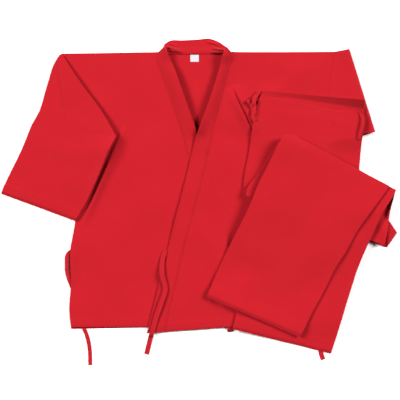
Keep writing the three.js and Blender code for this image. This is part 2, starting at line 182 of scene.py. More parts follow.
# The left sleeve, as lines across it: upper end x, y; lower end x, y
ARMHOLE = (350.1, 389.5, 318, 161)
SLEEVE_FOLD = (389.5, 397, 456.5, 182)
HIDDEN_CUFF = (90, 210, 278, 121)
FOLD_RADIUS = 7.5

# The trousers
SEAT = [
    (153, 261, 426, 221, 0, 0),
    (143, 225, 425, 190, 0, 0),
    (137, 190, 421, 155, 0, 0),
    (133, 155, 418, 115, 0, 0),
    (126, 115, 416, 80, 0, 0),
    (119, 80, 430, 30, 0, 0),
    (115, 43, 474, -24, 0, 0),
    (116, 20, 514, -80, 0, 0),
    (140, 12, 486, -119, 0, 0),
]
SEAT_CORNER = 7  # the row of the table with the seat's corner at its right end
# The waist casing also has: the lower layer's left end x, y; right end x, y; how much higher its ends are.
WAISTBAND = [
    (153, 261, 426, 221, 0, 0, 153, 261, 426, 221, 0, 0),
    (156, 273, 425, 232, 0, 0, 156, 273, 426, 233, 0, 0),
    (158, 279, 424, 238, 1, 1, 158, 280, 426, 241, 1, 3),
    (158, 282, 424, 242, 2, 5, 160, 288, 426, 262, 2, 19),
]
STACK = [
    (120, 17, 480, -112, 6, 0),
    (128, 43, 489, -60, 5, 0),
    (150, 70, 492, -30, 2, 0),
    (180, 115, 501, 5, 0, 0),
    (214, 166, 508, 28, 0, 0),
]
LEG_LOWER = [
    (87, -327, 343, -392, 1, 0),
    (98, -279, 362, -332, 0, 0),
    (112, -225, 379, -275, 0, 0),
    (130, -165, 396, -220, 0, 0),
    (148, -105, 411, -172, 0, 0),
    (168, -40, 431, -122, 0, 0),
    (190, 30, 452, -75, 0, 0),
    (212, 95, 476, -22, 0, 0),
    (235, 140, 496, 8, 0, 0),
    (258, 160, 508, 31, 0, 0),
]
LEG_UPPER = [
    (20, -242, 262, -347, 2, 2),
    (45, -185, 295, -282, 0, 0),
    (68, -135, 325, -227, 0, 0),
    (96, -78, 352, -171, 0, 0),
    (125, -20, 380, -127, 2, 0),
    (150, 41, 410, -71, 7, 0),
    (176, 94, 440, -28, 11, 0),
    (200, 143, 462, 2, 13, 0),
    (214, 170, 476, 20, 12, 0),
    (243, 173, 490, 41, 3, 0),
]
LEG_CORNER = 8  # the row of the table where the left edge turns into the fold

# How far the lower layer shows beyond the upper one at the hems: x, y
SLEEVE_SHIFT = (-0.3, -3.2)
LEG_SHIFT = (-0.9, -2.6)

# Widths of the turned hems
JACKET_HEM = 22.0
SLEEVE_HEM = 25.0
LEG_HEM = 28.0

# Creases: start x, y; end x, y; width to the left and to the right of that line; height
COLLAR_CREASES = [
    (-90, 403, -46, 391, 4, 2.6, 9.0),
    (-86, 395, -42, 387, 3, 2.6, 6.0),
    (-82, 412, -54, 403, 3, 2.5, 3.5),
    (32, 399, 76, 391, 2.6, 4.5, 10.0),
    (28, 389, 74, 386, 2.6, 3.5, 8.5),
    (16, 418, 60, 404, 3, 3, 4.0),
]
FRONT_RIGHT_CREASES = [
    (-6, 172, -86, 415, 28, 28, 17),
    (-300, 250, -215, 150, 14, 26, 1.5),
    (-200, 120, -120, -60, 30, 30, 1.6),
    (-250, -60, -230, -260, 26, 36, 1.4),
    (-80, -140, -60, -300, 22, 30, 1.2),
]
FRONT_LEFT_CREASES = [
    (-6, 176, 74, 415, 26, 26, 17),
    (150, 370, 300, 350, 20, 30, 1.5),
]
FRONT_RIGHT_FOLDS = [
    (-194, 198, -304, -62, 13, 4.5, 10),
]
FRONT_LEFT_FOLDS = [
    (81, 298, 138, 180, 2.6, 16, 9.0),
    (88, 301, 145, 183, 18, 2.6, 9.0),
    (15, -26, 32, -322, 3, 3, 0.9),
]
LAPEL_LEFT_FOLDS = [
    (-96, -120, -98, -170, 3, 4, 2.5),
]
SLEEVE_CREASES = [
    (-466, 50, -425, 44, 3, 4, 1.0),
    (-430, 190, -330, 110, 20, 26, 2.0),
    (-470, 110, -360, 30, 20, 26, 1.5),
]
SEAT_CREASES = [
    (170, 240, 300, 222, 8, 14, 1.2),
    (300, 226, 400, 190, 12, 8, 1.5),
]
SEAT_FOLDS = [
    (490, -44, 488, -126, 14, 8, 9.0),
    (450, -38, 482, -58, 3, 8, 4.0),
]
WAIST_CREASES = [
    (170, 274, 240, 265, 3, 3, -1.2),
    (312, 245, 382, 234, 3, 3, -1.2),
    (240, 272, 330, 256, 5, 6, 1.0),
]
LEG_UPPER_CREASES = [
    (-40, -215, 322, -372, 26, 26, 6),
]
STACK_FOLDS = [
    (511, 44, 486, -52, 5, 3.5, 9),
    (509, 30, 489, -44, 5, 5, 11.0),
]

# Tapes: width, how far the edges curl up, then the middle line, a row for each bend: x, y, height
TIES = {
    "tie_side_right": (10.2, 1, [
        (-329, -126, 0), (-341, -136, 2), (-344, -160, 4), (-341, -192, 3), (-330, -222, 0),
        (-318, -262, 0), (-304, -318, 0), (-292, -347, 0), (-285, -380, 0), (-283, -424, 0),
    ]),
    "tie_inner": (13, 0, [(62, -150, 0), (68, -205, 0), (74, -270, 0), (80, -338, 0)]),
    "tie_side_left": (12, 0, [
        (314, -130, 0), (318, -200, 0), (316, -290, 0), (313, -350, 0), (315, -386, 0), (322, -410, 0),
    ]),
    "tie_lapel": (12.5, 2, [
        (-88, -126, 0), (-95, -150, 2), (-96, -185, 4), (-88, -227, 2), (-97, -257, 3), (-110, -294, 2),
        (-123, -341, 0), (-137, -396, 0),
    ]),
    "waist_tape_left": (10.2, 1, [
        (156, 288, 0), (150, 278, 2), (142, 266, 4), (142, 250, 4), (141, 232, 3), (139, 219, 1),
        (145, 209, 0),
    ]),
    "waist_tape_end": (10.2, 1, [(142, 262, 6), (133, 261, 8), (124, 258, 9)]),
    "waist_tape_right": (10.2, 5, [
        (416, 234, 0), (422, 219, 0), (421, 198, 1), (416, 180, 1), (413, 161, 0),
    ]),
}
LABEL = [(-23, 364, -1, 364, 0, 0), (-23, 382, -1, 382, 0, 0)]

# Camera, straight above: width of the photo at the surface in metres, its centre, height in metres, sensor
PHOTO_WIDTH = 1.04
PHOTO_CENTRE = (2.1, 4.9)
CAMERA_HEIGHT = 3.2
SENSOR = 36.0

# Materials: light and dark shade, width of a thread, how far it stands up, roughness, sheen, specular level
WEAVES = {
    "cotton_red": ((0.35, 0.0050, 0.0110), (0.325, 0.0038, 0.0091), 0.9, 0.12, 0.9, 0.04, 0.13),
    "tape_red": ((0.35, 0.0050, 0.0112), (0.315, 0.0038, 0.0091), 0.7, 0.12, 0.85, 0.04, 0.14),
    "label_white": ((0.46, 0.455, 0.49), (0.43, 0.427, 0.46), 0.4, 0.05, 0.45, 0.0, 0.28),
    "thread_red": ((0.315, 0.0042, 0.0091), (0.28, 0.0035, 0.0077), 0.3, 0.05, 0.6, 0.0, 0.2),
    "thread_white": ((0.42, 0.413, 0.45), (0.385, 0.378, 0.413), 0.3, 0.05, 0.6, 0.0, 0.2),
}
SLUBS_PER_METRE = 700.0
DYE_PER_METRE = 9.0
DYE_RANGE = (0.7, 1.3)  # of slubs and dye together, from the dark shade to the light one
WEAVE_STRENGTH = 0.35
SHEEN_ROUGHNESS = 0.5

# Studio, in metres: a soft box on each side, with its place, size and watts, and a plain white floor
SOFT_BOXES = {
    "left": ((-8.8, 3.8, 8.0), 4.6, 2500),
    "right": ((8.8, 3.8, 8.0), 4.6, 2330),
}
AMBIENT = 0.06
FLOOR_SIZE = 8.0
FLOOR_DROP = 0.0005
FLOOR_WHITE = 0.93
FLOOR_ROUGHNESS = 0.9


def smooth_rows(table, step, corners=()):
    """Sections on a smooth curve through the rows of a table, which turns sharply only at its corner rows."""
    rows = np.array(table, float)
    ends = np.hypot(rows[1:, [0, 2]] - rows[:-1, [0, 2]], rows[1:, [1, 3]] - rows[:-1, [1, 3]])
    at = np.concatenate([[0], np.cumsum(ends.max(axis=1))])
    breaks = [0, *corners, len(rows) - 1]
    made = []
    for first, last in zip(breaks[:-1], breaks[1:]):
        part, places = rows[first:last + 1], at[first:last + 1]
        slopes = np.gradient(part, places, axis=0)
        for i, span in enumerate(np.diff(places)):
            count = max(1, math.ceil(span / step))
            t = np.arange(count)[:, None] / count
            made.append(
                (2 * t**3 - 3 * t**2 + 1) * part[i]
                + (t**3 - 2 * t**2 + t) * span * slopes[i]
                + (3 * t**2 - 2 * t**3) * part[i + 1]
                + (t**3 - t**2) * span * slopes[i + 1]
            )
    return np.vstack([*made, rows[-1:]])


class Heights:
    """How high everything laid so far reaches, on square cells."""

    def __init__(self):
        self.shape = tuple(int(2 * half / CELL) + 1 for half in MAP_HALF)
        self.z = np.zeros(self.shape)

    def cells(self, plan):
        """The places of points on the map, counted in cells."""
        last = np.array(self.shape, float) - 1
        return np.clip((plan + np.array(MAP_HALF)) / CELL, 0, np.nextafter(last, 0))

    def add(self, plan, top):
        """Marks a grid of points and the surface between them."""
        longest = max(np.linalg.norm(np.diff(plan, axis=axis), axis=-1).max() for axis in (0, 1))
        parts = max(2, math.ceil(longest / (CELL * MARK_SPACING)))
        here, after = slice(None, -1), slice(1, None)
        corners = [(here, here), (here, after), (after, here), (after, after)]
        for i in range(parts + 1):
            for j in range(parts + 1):
                a, b = i / parts, j / parts
                weights = [(1 - a) * (1 - b), (1 - a) * b, a * (1 - b), a * b]
                point = sum(weight * plan[corner] for weight, corner in zip(weights, corners))
                z = sum(weight * top[corner] for weight, corner in zip(weights, corners))
                index = np.rint(self.cells(point)).astype(int)
                np.maximum.at(self.z, (index[..., 0], index[..., 1]), z)

    def spread(self, z, radius, slope):
        """The map with the drop of cloth from each edge: round at first, then straight at that slope."""
        reach = math.ceil((z.max() / slope + slope * radius / 2) / CELL) + EDGE_CELLS + 1
        far = np.maximum(0, np.abs(np.arange(-reach, reach + 1)) - EDGE_CELLS) * CELL
        drop = np.where(far < slope * radius, far**2 / (2 * radius), slope * far - slope**2 * radius / 2)
        for axis in (0, 1):
            padded = np.pad(z, [(reach, reach) if a == axis else (0, 0) for a in (0, 1)])
            size = self.shape[axis]
            best = np.zeros(self.shape)
            for k, fall in enumerate(drop):
                part = padded[k:k + size] if axis == 0 else padded[:, k:k + size]
                np.maximum(best, part - fall, out=best)
            z = best
        return z

    def under(self, plan, radius, slope, below=None):
        """The lowest place of a piece's underside at each point, on the map or on an earlier one."""
        spread = self.spread(self.z if below is None else below, radius, slope)
        at = self.cells(plan)
        low = np.floor(at).astype(int)
        part = at - low
        value = 0
        for dx in (0, 1):
            for dy in (0, 1):
                weight = np.abs(1 - dx - part[..., 0]) * np.abs(1 - dy - part[..., 1])
                value = value + weight * spread[low[..., 0] + dx, low[..., 1] + dy]
        return np.where(value > BARE, value + GAP, 0)


heights = Heights()


def relax(z, floor, passes):
    """Evens out a grid of heights, which stay on or above the floor."""
    for _ in range(passes):
        padded = np.pad(z, 1, mode="edge")
        mean = (padded[:-2, 1:-1] + padded[2:, 1:-1] + padded[1:-1, :-2] + padded[1:-1, 2:]) / 4
        z = np.maximum(floor, mean)
    return z


def flat(plan):
    """No rise, crease or relief at all."""
    return np.zeros(plan.shape[:-1])


def waves(height, length, seed):
    """A function for the soft low waves, from 0 to height, that cloth keeps when it is smoothed by hand."""
    def rise(plan):
        random = np.random.default_rng(seed)
        total = np.zeros(plan.shape[:-1])
        for _ in range(WAVE_COUNT):
            angle, phase = random.uniform(0, 2 * math.pi, 2)
            wave = length * random.uniform(*WAVE_SPREAD)
            along = plan[..., 0] * math.cos(angle) + plan[..., 1] * math.sin(angle)
            total += np.sin(along / wave * 2 * math.pi + phase)
        return height * (0.5 + total / WAVE_COUNT).clip(0, 1)
    return rise


def crease(plan, start, end, left, right, height):
    """A ridge from start to end that falls off over its widths left and right, and fades at its ends."""
    start, end = np.array(start, float), np.array(end, float)
    along = end - start
    length = np.hypot(*along)
    along = along / length
    offset = plan - start
    t = (offset @ along) / length
    across = offset @ np.array([-along[1], along[0]])
    width = np.where(across > 0, left, right)
    fade = np.sin(np.pi * t.clip(0, 1)) ** CREASE_FADE
    return height * fade * np.exp(-((across / width) ** 2))


def creases(table):
    """A function that adds up the creases of a table."""
    def rise(plan):
        return sum(crease(plan, (x0, y0), (x1, y1), left, right, height)
                   for x0, y0, x1, y1, left, right, height in table)
    return rise


def together(*rises):
    """A function that adds up others."""
    return lambda plan: sum(rise(plan) for rise in rises)


def with_lower(table, row, shift):
    """The table of a tube whose lower layer shows beyond the upper one at the row of its hem."""
    moved = [(0, 0)] * len(table)
    moved[row] = shift
    return [(x0, y0, x1, y1, left, right, x0 + dx, y0 + dy, x1 + dx, y1 + dy, 0, 0)
            for (x0, y0, x1, y1, left, right), (dx, dy) in zip(table, moved)]


def edge_distance(plan, edge):
    """How far each point of a grid is from one of its edges."""
    grid = plan if edge in ("left", "right") else plan.transpose(1, 0, 2)
    flipped = edge in ("right", "last")
    grid = grid[:, ::-1] if flipped else grid
    steps = np.linalg.norm(np.diff(grid, axis=1), axis=-1)
    far = np.concatenate([np.zeros((len(grid), 1)), np.cumsum(steps, axis=1)], axis=1)
    far = far[:, ::-1] if flipped else far
    return far if edge in ("left", "right") else far.T


def turned(plan, edge, width):
    """1 on a hem along an edge of a grid, 0 beyond it."""
    return ((width - edge_distance(plan, edge)) / SMALL + 0.5).clip(0, 1)


def level_with(line, plan, top, edge):
    """How far to move a piece up at each point, so that its edge is level with that line, fading inward."""
    upright = edge in ("left", "right")
    index = 0 if edge in ("left", "first") else -1
    side = (slice(None), index) if upright else (index, slice(None))
    axis = 1 if upright else 0
    order = np.argsort(line[:, axis])
    wanted = np.interp(plan[side][:, axis], line[order, axis], line[order, 2])
    off = wanted - top[side]
    fade = np.exp(-((edge_distance(plan, edge) / LEVEL_REACH) ** 2))
    return (off[:, None] if upright else off[None, :]) * fade


def make_object(name, points, faces, places, material):
    """An object from points and faces, with each face corner's place on the flat cloth."""
    mesh = bpy.data.meshes.new(name)
    mesh.from_pydata((points * MM).tolist(), [], faces)
    layer = mesh.uv_layers.new(name="grain")
    layer.data.foreach_set("uv", (places * MM).ravel())
    mesh.materials.append(material)
    mesh.polygons.foreach_set("use_smooth", [True] * len(mesh.polygons))
    made = bpy.data.objects.new(name, mesh)
    bpy.context.scene.collection.objects.link(made)
    return made


def signed_volume(points, faces):
    """The volume that the four-sided faces enclose, below zero where they face inward."""
    quads = points[np.array([face for face in faces if len(face) == 4])]
    a, b, c, d = (quads[:, k] for k in range(4))
    return float((np.cross(a, b) * c).sum() + (np.cross(a, c) * d).sum()) / 6


class Skin:
    """Rings of points and the faces between them, with each face corner's place on the flat cloth."""

    def __init__(self):
        self.points = []
        self.faces = []
        self.places = []
        self.count = 0

    def ring(self, points, along):
        """Adds a ring, whose places run round it."""
        index = np.arange(self.count, self.count + len(points))
        self.points.append(points)
        self.count += len(points)
        steps = np.linalg.norm(np.diff(points[:, :2], axis=0, append=points[:1, :2]), axis=1)
        around = np.concatenate([[0], np.cumsum(steps)])
        return index, np.column_stack([around, np.full(len(around), along)])

    def wall(self, one, other, inward=False):
        """Joins two rings."""
        (a, places_a), (d, places_d) = one, other
        faces = np.stack([a, np.roll(a, -1), np.roll(d, -1), d], axis=1)
        places = np.stack([places_a[:-1], places_a[1:], places_d[1:], places_d[:-1]], axis=1)
        if inward:
            faces, places = faces[:, ::-1], places[:, ::-1]
        self.faces.extend(faces.tolist())
        self.places.append(places.reshape(-1, 2))

    def lid(self, ring, columns, edge_count, turned_over):
        """Closes a ring: a strip between its underside and its top, and one face at each rounded edge."""
        index, places = ring
        top = columns + edge_count
        faces = [[index[c], index[c + 1], index[top + columns - 2 - c], index[top + columns - 1 - c]]
                 for c in range(columns - 1)]
        if edge_count:
            faces.append([index[columns - 1], *index[columns:top], index[top]])
            faces.append([index[top + columns - 1], *index[top + columns:], index[0]])
        for face in faces:
            corners = [int(k) for k in (face[::-1] if turned_over else face)]
            self.faces.append(corners)
            self.places.append(places[[k - int(index[0]) for k in corners]])

    def piece(self, name, material):
        """The object, with its faces turned outward."""
        points = np.vstack(self.points)
        made = make_object(name, points, self.faces, np.vstack(self.places), material)
        if signed_volume(points, self.faces) < 0:
            made.data.flip_normals()
        made.data.set_sharp_from_angle(angle=SHARP_ANGLE)
        return made


class Shape(NamedTuple):
    """A piece of cloth as it lies, a row for each section."""

    upper: np.ndarray  # the top's line in plan: left end x, y; right end x, y
    lower: np.ndarray  # the underside's line
    bottom: np.ndarray  # heights of the underside
    top: np.ndarray  # heights of the top
    radii: list  # how round the left and the right edge are
    squeeze: np.ndarray  # the share of its depth that each section has

    def rings(self, inset):
        """The rings of all sections: along the underside, up one edge, back along the top, down the other.
        With an inset they run that far inside the skin."""
        rows, columns = self.top.shape
        widths = np.hypot(self.upper[:, 2] - self.upper[:, 0], self.upper[:, 3] - self.upper[:, 1])[:, None]
        angles = np.radians(np.linspace(-90, 90, EDGE_SECTIONS + 2)[1:-1])
        rise = np.broadcast_to((1 + np.sin(angles)) / 2, (rows, EDGE_SECTIONS))
        left, right = [(radius - (radius - inset) * np.cos(angles)) / widths for radius in self.radii]
        first, last = self.radii[0] / widths, 1 - self.radii[1] / widths
        along = np.clip(np.linspace(0, 1, columns)[None, :], first, last)
        return np.concatenate([
            self.at(along, np.zeros_like(along), inset),
            self.at(1 - right, rise, inset),
            self.at(along[:, ::-1], np.ones_like(along), inset),
            self.at(left[:, ::-1], rise[:, ::-1], inset),
        ], axis=1)

    def at(self, u, share, inset):
        """Points at the share u of each section's width and that share of its depth."""
        columns = self.top.shape[1]
        row = np.arange(len(self.top))[:, None]
        share = 0.5 + (share - 0.5) * self.squeeze[:, None]
        place = u * (columns - 1)
        low = np.clip(np.floor(place).astype(int), 0, columns - 2)
        part = place - low
        bottom = self.bottom[row, low] * (1 - part) + self.bottom[row, low + 1] * part
        top = self.top[row, low] * (1 - part) + self.top[row, low + 1] * part
        z = bottom + (top - bottom) * share + inset * (1 - 2 * share)
        line = self.lower[:, None] * (1 - share[..., None]) + self.upper[:, None] * share[..., None]
        plan = line[..., :2] + (line[..., 2:] - line[..., :2]) * u[..., None]
        return np.concatenate([plan, z[..., None]], axis=-1)

    def skin(self, travelled, wall, closed):
        """The skin of a single layer, or of a tube with that wall, open at its first section."""
        skin = Skin()
        columns = self.top.shape[1]
        outer = [skin.ring(points, along) for points, along in zip(self.rings(0.0), travelled)]
        for one, other in zip(outer[:-1], outer[1:]):
            skin.wall(one, other)
        if not wall:
            skin.lid(outer[0], columns, EDGE_SECTIONS, True)
            skin.lid(outer[-1], columns, EDGE_SECTIONS, False)
            return skin
        count = len(outer) - len(NOSE_ANGLES) if closed else len(outer)
        inner = [skin.ring(points, along) for points, along in zip(self.rings(wall)[:count], travelled)]
        for one, other in zip(inner[:-1], inner[1:]):
            skin.wall(one, other, inward=True)
        skin.wall(outer[0], inner[0], inward=True)
        if closed:
            skin.lid(outer[-1], columns, EDGE_SECTIONS, False)
            skin.lid(inner[-1], columns, EDGE_SECTIONS, True)
        else:
            skin.wall(outer[-1], inner[-1])
        return skin


class Cloth:
    """A piece as it lies: the grid of its top, for what is sewn on it."""

    def __init__(self, plan, top):
        self.grid = np.concatenate([plan, top[..., None]], axis=-1)

    def line(self, edge, inset):
        """Points along an edge, inset from it; the edges are left, right, first and last."""
        grid = self.grid if edge in ("left", "right") else self.grid.transpose(1, 0, 2)
        grid = grid if edge in ("left", "first") else grid[:, ::-1]
        steps = np.linalg.norm(np.diff(grid[..., :2], axis=1), axis=-1)
        far = np.concatenate([np.zeros((len(grid), 1)), np.cumsum(steps, axis=1)], axis=1)
        return np.array([[np.interp(inset, along, row[:, k]) for k in range(3)]
                         for along, row in zip(far, grid)])


def sections_of(table, step, corners, depth, closed):
    """The sections of a piece and the share of its depth each has. A closed tube's last ones go round."""
    lines = smooth_rows(table, step, corners)
    if not closed:
        return lines, np.ones(len(lines))
    angles = np.radians(NOSE_ANGLES)
    span = float(np.hypot(*(lines[-1, :2] - lines[-2, :2])))
    shares = depth / 2 * (1 - np.sin(angles)) / span
    noses = [lines[-1] + (lines[-2] - lines[-1]) * share for share in shares]
    return np.vstack([lines[:-1], *noses]), np.concatenate([np.ones(len(lines) - 1), np.cos(angles)])


def thickness(plan, depth, wall, relief, hems, sewn):
    """How thick a piece is at each point, with its turned hems, and thin where it is sewn to another."""
    thick = float(depth) + relief(plan)
    for edge, width in hems:
        thick = thick + HEM_RISE * turned(plan, edge, width)
        thick = thick - HEM_DROOP * thick * (1 - edge_distance(plan, edge) / HEM_ROLL).clip(0, 1)
    if not wall:
        for edge in sewn:
            thick = thick - (depth - CLOTH) * (1 - edge_distance(plan, edge) / THIN_WIDTH).clip(0, 1) ** 2
    return thick


def lay(name, table, material, depth=CLOTH, wall=0.0, closed=False, corners=(), step=FINE,
        rise=flat, sharp=flat, relief=flat, passes=SMOOTHING, radius=DROP_RADIUS, slope=DROP_SLOPE,
        below=None, sewn=None, hems=()):
    """Lays a piece of cloth on all that is there, and marks it on the map.

    wall makes it a tube of cloth that thick, open at its first section, and at its last unless closed.
    rise is how far it stands off what it lies on, sharp adds creases that stay crisp, and relief is how much
    thicker it is, for each point of the plan.
    Six more columns in the table say where a tube's lower layer lies and how much higher its ends are.
    radius and slope say how it bends over what it lies on, which is the map, or the earlier map below.
    sewn has the edges where it is sewn to its neighbours, each with the line of the neighbour's edge that it
    is level with there, or None. hems are the edges and widths of turned hems.
    """
    sewn = sewn or {}
    lines, squeeze = sections_of(table, step, corners, depth, closed)
    widths = np.hypot(lines[:, 2] - lines[:, 0], lines[:, 3] - lines[:, 1])
    columns = max(3, math.ceil(widths.max() / step) + 1)
    u = np.linspace(0, 1, columns)
    plan = lines[:, None, :2] + (lines[:, None, 2:4] - lines[:, None, :2]) * u[None, :, None]
    floor = heights.under(plan, radius, slope, below)
    lift = lines[:, 4:5] * (1 - u) ** 3 + lines[:, 5:6] * u**3 + rise(plan)
    base = relax(floor + lift, floor + lift * LIFT_KEPT, passes) + sharp(plan)
    thick = thickness(plan, depth, wall, relief, hems, sewn)
    for edge, line in sewn.items():
        if line is not None:
            base = base + level_with(line, plan, base + thick, edge)
    top = base + thick
    lower, bottom = lines[:, :4], base
    if lines.shape[1] > 6:
        lower = lines[:, 6:10]
        bottom = base + lines[:, 10:11] * (1 - u) + lines[:, 11:12] * u
    radii = [SEWN_ROUND if edge in sewn else min(depth / 2, EDGE_ROUND) for edge in ("left", "right")]
    middle = plan[:, columns // 2]
    travelled = np.concatenate([[0], np.cumsum(np.hypot(*np.diff(middle, axis=0).T))])
    skin = Shape(lines[:, :4], lower, bottom, top, radii, squeeze).skin(travelled, wall, closed)
    heights.add(plan, top)
    layers = 2 if wall else 1
    size = (widths.max() * layers, travelled[-1])
    declare(skin.piece("cloth_" + name, material), name, size, layers * plan_area(plan))
    return Cloth(plan, top)


def plan_area(plan):
    """The area of a grid of points."""
    a = plan[1:, 1:] - plan[:-1, :-1]
    b = plan[1:, :-1] - plan[:-1, 1:]
    return float(np.abs((a[..., 0] * b[..., 1] - a[..., 1] * b[..., 0]).sum())) / 2


def declare(made, name, size, area):
    """The piece rides on the body and stands for its node; its flat size and cloth area are worked out but
    not used.
    """
    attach(made, "root")
    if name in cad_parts:
        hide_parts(name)
    width, length = (float(side) * MM for side in size)
    area = min(area * MM**2, width * length)


def lay_tape(name):
    """Lays a tape along its middle line, with its edges curled up."""
    width, cup, line = TIES[name]
    points = smooth_rows([(x, y, x, y, lift, 0) for x, y, lift in line], SMALL)[:, [0, 1, 4]]
    share = np.linspace(0, 1, len(points))
    along = np.gradient(points[:, :2], axis=0)
    along /= np.hypot(*along.T)[:, None]
    side = np.column_stack([-along[:, 1], along[:, 0]]) * width / 2
    curl = np.full((len(points), 2), cup) * np.sin(math.pi * share)[:, None]
    rows = np.column_stack([points[:, :2] + side, points[:, :2] - side, curl])

    def rise(plan):
        return np.interp(np.linspace(0, 1, len(plan)), share, points[:, 2])[:, None]

    return lay(name, rows, tape_red, depth=TAPE, step=width / TAPE_COLUMNS, rise=rise, radius=TAPE_RADIUS,
               slope=TAPE_SLOPE, passes=TAPE_SMOOTHING)


def across(line):
    """Points across the folded sleeve along a line."""
    return line[:2] + (line[2:] - line[:2]) * np.linspace(0, 1, SLEEVE_COLUMNS)[:, None]


def sleeve_stations(armhole_top):
    """The folded left sleeve, as sections across it: from the armhole, round the fold and back to the cuff.
    Each has the line and the heights of its outer face, and the same for its inner face."""
    armhole, fold, cuff = (np.array(line, float) for line in (ARMHOLE, SLEEVE_FOLD, HIDDEN_CUFF))
    armhole = armhole + [SEAM, 0, SEAM, 0]
    along = fold[2:] - fold[:2]
    along /= np.hypot(*along)
    outward = np.tile([-along[1], along[0]], 2)
    start = fold - outward * FOLD_RADIUS
    inner = FOLD_RADIUS - SLEEVE_THICK
    level = np.ones(SLEEVE_COLUMNS)
    stations = []
    for t in np.linspace(0, 1, UPPER_SECTIONS + 1)[:-1]:
        top = armhole_top + (2 * FOLD_RADIUS - armhole_top) * (1.5 * t**2 - 0.5 * t**3)
        line = armhole + (start - armhole) * t
        stations.append((line, top, line, top - SLEEVE_THICK))
    for angle in np.radians(np.linspace(90, -90, FOLD_SECTIONS)):
        stations.append((
            start + outward * FOLD_RADIUS * math.cos(angle), level * FOLD_RADIUS * (1 + math.sin(angle)),
            start + outward * inner * math.cos(angle), level * (FOLD_RADIUS + inner * math.sin(angle)),
        ))
    for t in np.linspace(0, 1, LOWER_SECTIONS + 1)[1:]:
        line = start + (cuff - start) * t
        stations.append((line, 0 * level, line, SLEEVE_THICK * level))
    return stations


def mark_hidden_sleeve():
    """Marks the stretch of the left sleeve that lies under the body, before the body is laid on it."""
    stations = sleeve_stations(np.full(SLEEVE_COLUMNS, 2 * SLEEVE_THICK))
    hidden = stations[UPPER_SECTIONS + FOLD_SECTIONS - 1:]
    plan = np.array([across(line) for line, _, _, _ in hidden])
    heights.add(plan, np.array([top for _, _, _, top in hidden]))


def lay_left_sleeve(front_left):
    """Lays the left sleeve, level with the front's edge at the armhole, and folded under on a slant."""
    edge = front_left.line("right", 0)
    armhole_y = ARMHOLE[1] + (ARMHOLE[3] - ARMHOLE[1]) * np.linspace(0, 1, SLEEVE_COLUMNS)
    stations = sleeve_stations(np.interp(armhole_y, edge[:, 1], edge[:, 2]))
    outer = [np.column_stack([across(line), top]) for line, top, _, _ in stations]
    inner = [np.column_stack([across(line), top]) for _, _, line, top in stations]
    middle = np.array([face[SLEEVE_COLUMNS // 2] for face in outer])
    travelled = np.concatenate([[0], np.cumsum(np.linalg.norm(np.diff(middle, axis=0), axis=1))])
    skin = Skin()
    rings = [skin.ring(np.vstack([under, over[::-1]]), along)
             for under, over, along in zip(inner, outer, travelled)]
    for one, other in zip(rings[:-1], rings[1:]):
        skin.wall(one, other)
    skin.lid(rings[0], SLEEVE_COLUMNS, 0, True)
    skin.lid(rings[-1], SLEEVE_COLUMNS, 0, False)
    width = float(np.hypot(SLEEVE_FOLD[2] - SLEEVE_FOLD[0], SLEEVE_FOLD[3] - SLEEVE_FOLD[1]))
    size = (width, travelled[-1])
    declare(skin.piece("cloth_sleeve_left", red), "sleeve_left", size, width * travelled[-1])
    shown = stations[:UPPER_SECTIONS + 1]
    plan = np.array([across(line) for line, _, _, _ in shown])
    heights.add(plan, np.array([top for _, top, _, _ in shown]))


def stitch_points(line, far, middle, thread):
    """The points of one stitch: a round thread, raised in its middle, with its ends sunk in the cloth."""
    shares, lifts = np.array(STITCH_PROFILE).T
    at = np.column_stack([np.interp(middle + shares * STITCH, far, line[:, k]) for k in range(3)])
    at[:, 2] += lifts * thread
    along = at[-1] - at[0]
    along /= np.linalg.norm(along)
    side = np.array([-along[1], along[0], 0])
    up = np.cross(along, side)
    turns = np.linspace(0, 2 * math.pi, THREAD_SIDES, endpoint=False)
    circle = [thread * (math.cos(turn) * side + math.sin(turn) * up) for turn in turns]
    return [centre + offset for centre in at for offset in circle]


def stitch_faces(first):
    """The faces of one stitch, whose points start at first."""
    faces = []
    last_ring = first + (len(STITCH_PROFILE) - 1) * THREAD_SIDES
    for start in range(first, last_ring, THREAD_SIDES):
        for k in range(THREAD_SIDES):
            after = (k + 1) % THREAD_SIDES
            faces.append([start + k, start + after, start + THREAD_SIDES + after, start + THREAD_SIDES + k])
    faces.append([first + k for k in range(THREAD_SIDES)][::-1])
    faces.append([last_ring + k for k in range(THREAD_SIDES)])
    return faces


def sew(name, lines, thread, material):
    """Rows of stitches along lines on the cloth."""
    points, faces = [], []
    for line in lines:
        far = np.concatenate([[0], np.cumsum(np.linalg.norm(np.diff(line, axis=0), axis=1))])
        for middle in np.arange(STITCH, far[-1] - STITCH, STITCH + STITCH_GAP):
            faces += stitch_faces(len(points))
            points += stitch_points(line, far, middle, thread)
    points = np.array(points)
    corners = np.array([corner for face in faces for corner in face])
    made = make_object(name, points, faces, points[corners, :2], material)
    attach(made, "root")


def add_node(tree, kind, inputs=(), **settings):
    """A shader node with its settings and inputs, which are plain values or sockets of other nodes."""
    node = tree.nodes.new(kind)
    for key, value in settings.items():
        setattr(node, key, value)
    for key, value in dict(inputs).items():
        if isinstance(value, bpy.types.NodeSocket):
            tree.links.new(value, node.inputs[key])
        else:
            node.inputs[key].default_value = value
    return node


def sine(tree, socket, pitch):
    """A wave of threads that far apart along one coordinate of the flat cloth."""
    per_metre = 2 * math.pi / (pitch * MM)
    turns = add_node(tree, "ShaderNodeMath", {0: socket, 1: per_metre}, operation="MULTIPLY")
    return add_node(tree, "ShaderNodeMath", {0: turns.outputs[0]}, operation="SINE").outputs[0]


